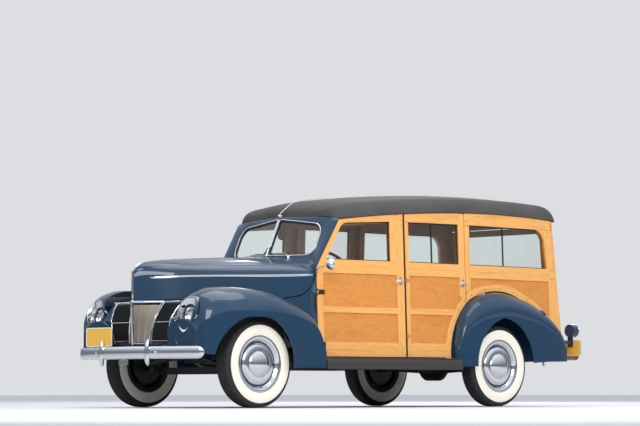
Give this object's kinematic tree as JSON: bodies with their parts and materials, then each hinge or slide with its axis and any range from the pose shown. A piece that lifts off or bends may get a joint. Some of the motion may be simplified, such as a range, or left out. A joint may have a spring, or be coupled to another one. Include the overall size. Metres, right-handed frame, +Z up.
{
  "type": "station wagon",
  "caption": "Timber-bodied station wagon with hollow cabin, opening doors, hood, tailgate and liftgate, steering front wheels and whitewall tyres.",
  "frame": {"origin": "on the ground at the middle of the length and width", "axes": "+X forward, +Y to the car's left, +Z up"},
  "size_m": [4.8627, 1.7842, 1.9021],
  "materials": {
    "timber": "varnished maple framing with mahogany-tone panels",
    "paint": "deep blue gloss paint",
    "roof_fabric": "dark grey coated fabric over slats",
    "chrome": "polished chrome plate",
    "glass": "clear flat glass",
    "black_steel": "black chassis paint",
    "cast_block": "dark cast iron",
    "floor_boards": "stained floor boards",
    "board_rubber": "ribbed rubber",
    "seat_cloth": "brown red seat covering",
    "dash_paint": "brown woodgrain paint",
    "wheel_rim": "dark brown moulded rim",
    "tyre": "black rubber with a cream side band",
    "wheel_paint": "blue wheel with bright trim",
    "plate_paint": "yellow enamel, left blank"
  },
  "bodies": {
    "car": {"side_left": "timber", "side_right": "timber", "roof": "roof_fabric", "nose": "paint", "grille": "chrome", "front_fender_left": "paint", "front_fender_right": "paint", "headlamps": "chrome", "rear_fender_left": "paint", "rear_fender_right": "paint", "tail_frame": "timber", "cowl": "paint", "fixed_glass": "glass", "front_axle": "black_steel", "rear_axle": "black_steel", "frame_rails": "black_steel", "cross_members": "black_steel", "engine": "cast_block", "driveline": "cast_block", "floor": "floor_boards", "running_board_left": "board_rubber", "running_board_right": "board_rubber", "front_seat": "seat_cloth", "middle_seat": "seat_cloth", "rear_seat": "seat_cloth", "dashboard": "dash_paint", "steering_column": "wheel_rim", "front_bumper": "chrome", "rear_bumper": "chrome", "front_spring": "black_steel", "rear_spring": "black_steel", "plates": "plate_paint", "tail_lamp": "paint"},
    "front_door_left": {"front_door_left": "timber", "front_door_glass_left": "glass"},
    "front_door_right": {"front_door_right": "timber", "front_door_glass_right": "glass"},
    "rear_door_left": {"rear_door_left": "timber", "rear_door_glass_left": "glass"},
    "rear_door_right": {"rear_door_right": "timber", "rear_door_glass_right": "glass"},
    "hood": {"hood": "paint"},
    "tailgate": {"tailgate": "timber"},
    "liftgate": {"liftgate": "timber", "liftgate_glass": "glass"},
    "steering_wheel": {"steering_wheel": "wheel_rim"},
    "knuckle_left": {"knuckle_left": "black_steel"},
    "knuckle_right": {"knuckle_right": "black_steel"},
    "wheel_front_left": {"tyre_front_left": "tyre", "wheel_front_left": "wheel_paint"},
    "wheel_front_right": {"tyre_front_right": "tyre", "wheel_front_right": "wheel_paint"},
    "wheel_rear_left": {"tyre_rear_left": "tyre", "wheel_rear_left": "wheel_paint"},
    "wheel_rear_right": {"tyre_rear_right": "tyre", "wheel_rear_right": "wheel_paint"}
  },
  "joints": [
    {"name": "steer_left", "type": "hinge", "parent": "car", "child": "knuckle_left", "pos_m": [1.61375, 0.6, 0.358], "axis": [0, 0, 1], "range_deg": [-30, 30]},
    {"name": "steer_right", "type": "hinge", "parent": "car", "child": "knuckle_right", "pos_m": [1.61375, -0.6, 0.358], "axis": [0, 0, 1], "range_deg": [-30, 30]},
    {"name": "roll_front_left", "type": "hinge", "parent": "knuckle_left", "child": "wheel_front_left", "pos_m": [1.61375, 0.708, 0.358], "axis": [0, 1, 0], "continuous": true},
    {"name": "roll_front_right", "type": "hinge", "parent": "knuckle_right", "child": "wheel_front_right", "pos_m": [1.61375, -0.708, 0.358], "axis": [0, 1, 0], "continuous": true},
    {"name": "roll_rear_left", "type": "hinge", "parent": "car", "child": "wheel_rear_left", "pos_m": [-1.23125, 0.74, 0.358], "axis": [0, 1, 0], "continuous": true},
    {"name": "roll_rear_right", "type": "hinge", "parent": "car", "child": "wheel_rear_right", "pos_m": [-1.23125, -0.74, 0.358], "axis": [0, 1, 0], "continuous": true},
    {"name": "steering_turn", "type": "hinge", "parent": "car", "child": "steering_wheel", "pos_m": [0.37675, 0.36, 1.15], "axis": [0.809, 0, -0.5878], "range_deg": [-450, 450]},
    {"name": "front_door_swing_left", "type": "hinge", "parent": "car", "child": "front_door_left", "pos_m": [0.83236, 0.65886, 0.53022], "axis": [0, 0.0362, -0.9993], "range_deg": [0, 70]},
    {"name": "rear_door_swing_left", "type": "hinge", "parent": "car", "child": "rear_door_left", "pos_m": [-0.16199, 0.72813, 0.61022], "axis": [0, 0.036, -0.9994], "range_deg": [0, 70]},
    {"name": "front_door_swing_right", "type": "hinge", "parent": "car", "child": "front_door_right", "pos_m": [0.83236, -0.65886, 0.53022], "axis": [0, 0.0362, 0.9993], "range_deg": [0, 70]},
    {"name": "rear_door_swing_right", "type": "hinge", "parent": "car", "child": "rear_door_right", "pos_m": [-0.16199, -0.72813, 0.61022], "axis": [0, 0.036, 0.9994], "range_deg": [0, 70]},
    {"name": "hood_lift", "type": "hinge", "parent": "car", "child": "hood", "pos_m": [0.85305, 0, 1.28629], "axis": [0, -1, 0], "range_deg": [0, 45]},
    {"name": "tailgate_drop", "type": "hinge", "parent": "car", "child": "tailgate", "pos_m": [-2.21661, 0, 0.62456], "axis": [0, -1, 0], "range_deg": [0, 90]},
    {"name": "liftgate_raise", "type": "hinge", "parent": "car", "child": "liftgate", "pos_m": [-2.12073, 0, 1.64456], "axis": [0, 1, 0], "range_deg": [0, 90]}
  ],
  "couplings": [
    {"joint": "steer_right", "follows": "steer_left", "ratio": 1},
    {"joint": "steering_turn", "follows": "steer_left", "ratio": -15}
  ]
}
